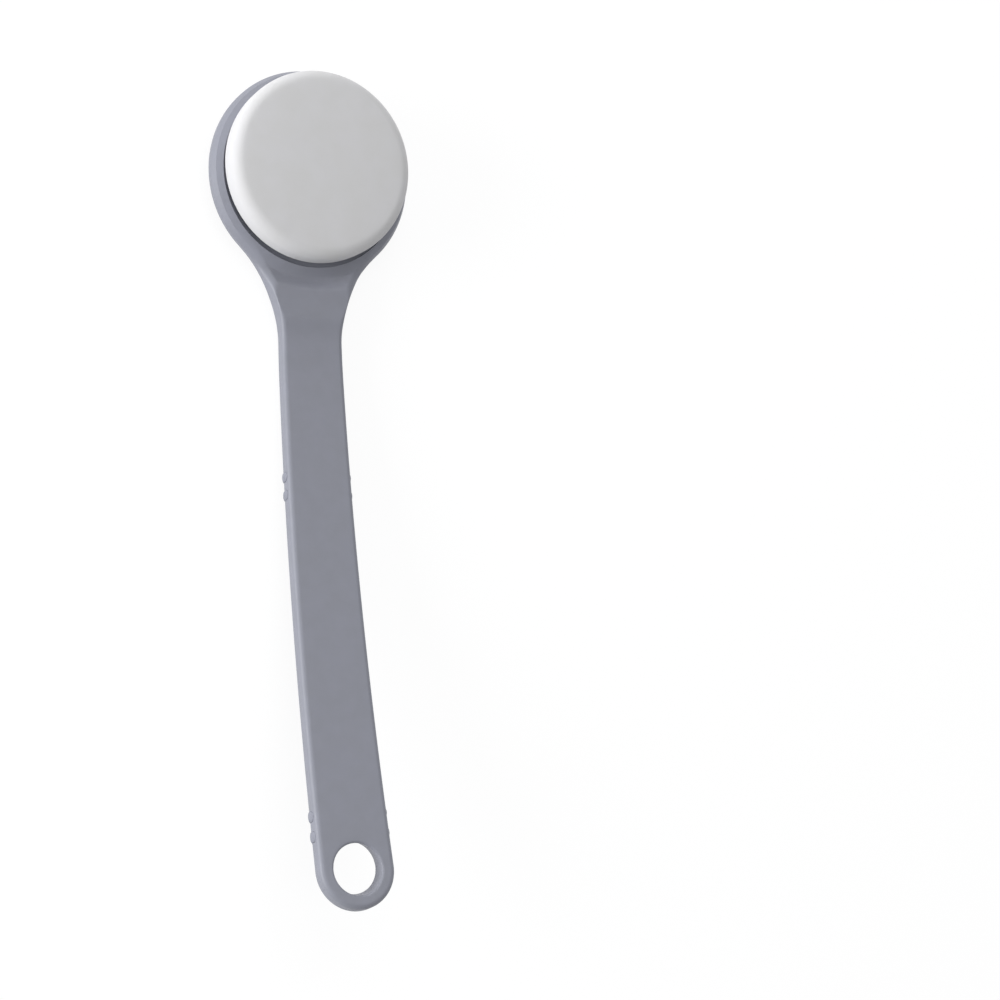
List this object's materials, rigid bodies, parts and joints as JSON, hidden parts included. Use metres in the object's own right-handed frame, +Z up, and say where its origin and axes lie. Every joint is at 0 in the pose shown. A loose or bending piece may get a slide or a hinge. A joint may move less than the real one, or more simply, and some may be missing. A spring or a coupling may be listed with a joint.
{
  "type": "back lotion applicator",
  "caption": "Long curved plastic handle with a hanging eye, and a round padded head for spreading lotion on the back; the pad pulls straight off.",
  "frame": {"origin": "on the surface that the applicator lies on, under the middle of its length and width", "axes": "+Z up, away from the surface and out of the pad's side; +Y along the handle towards the head; X across the handle, which is the same on both sides"},
  "size_m": [0.097, 0.377, 0.0459],
  "materials": {
    "shell_plastic": "satin moulded, cool mid grey",
    "rib_rubber": "matte soft grip, grey",
    "screw_steel": "plain steel",
    "carrier_plastic": "satin moulded, white",
    "ring_rubber": "matte, black",
    "adhesive": "tacky, clear",
    "foam": "open, off-white",
    "cover_skin": "smooth satin skin, white"
  },
  "bodies": {
    "handle": {"front_shell": "shell_plastic", "back_shell": "shell_plastic", "grip_rib_1": "rib_rubber", "grip_rib_2": "rib_rubber", "grip_rib_3": "rib_rubber", "grip_rib_4": "rib_rubber", "head_screw_1": "screw_steel", "head_screw_2": "screw_steel", "head_screw_3": "screw_steel"},
    "pad": {"pad_carrier": "carrier_plastic", "plug_ring": "ring_rubber", "adhesive_disc": "adhesive", "foam_core": "foam", "pad_cover": "cover_skin"}
  },
  "joints": [
    {"name": "pad_pull", "type": "slide", "parent": "handle", "child": "pad", "axis": [0, -0.1201, 0.9928], "range_m": [0, 0.03]}
  ]
}
